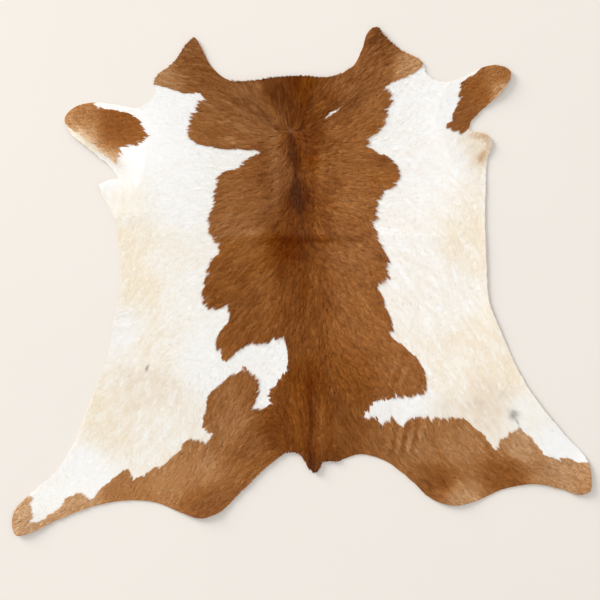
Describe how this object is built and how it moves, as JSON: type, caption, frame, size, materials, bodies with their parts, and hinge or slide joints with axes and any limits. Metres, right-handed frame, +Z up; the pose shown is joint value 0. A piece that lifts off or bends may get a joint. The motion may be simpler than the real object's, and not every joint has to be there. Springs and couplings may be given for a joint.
{
  "type": "cowhide rug",
  "caption": "Flat hair-on cowhide rug in the outline of the hide, with cheek, leg and tail flaps, a chestnut brown back and rump, and white flanks.",
  "frame": {"origin": "on the floor, under the middle of the hide's bounding box", "axes": "+X towards the hide's right flank seen from above, +Y towards the neck, +Z up, hair side up"},
  "size_m": [1, 0.8782, 0.0077],
  "materials": {
    "hair_on_hide": "short lying cattle hair with a slight gloss, chestnut brown and white, on pale suede skin"
  },
  "bodies": {
    "root": {"hide": "hair_on_hide"}
  },
  "joints": []
}
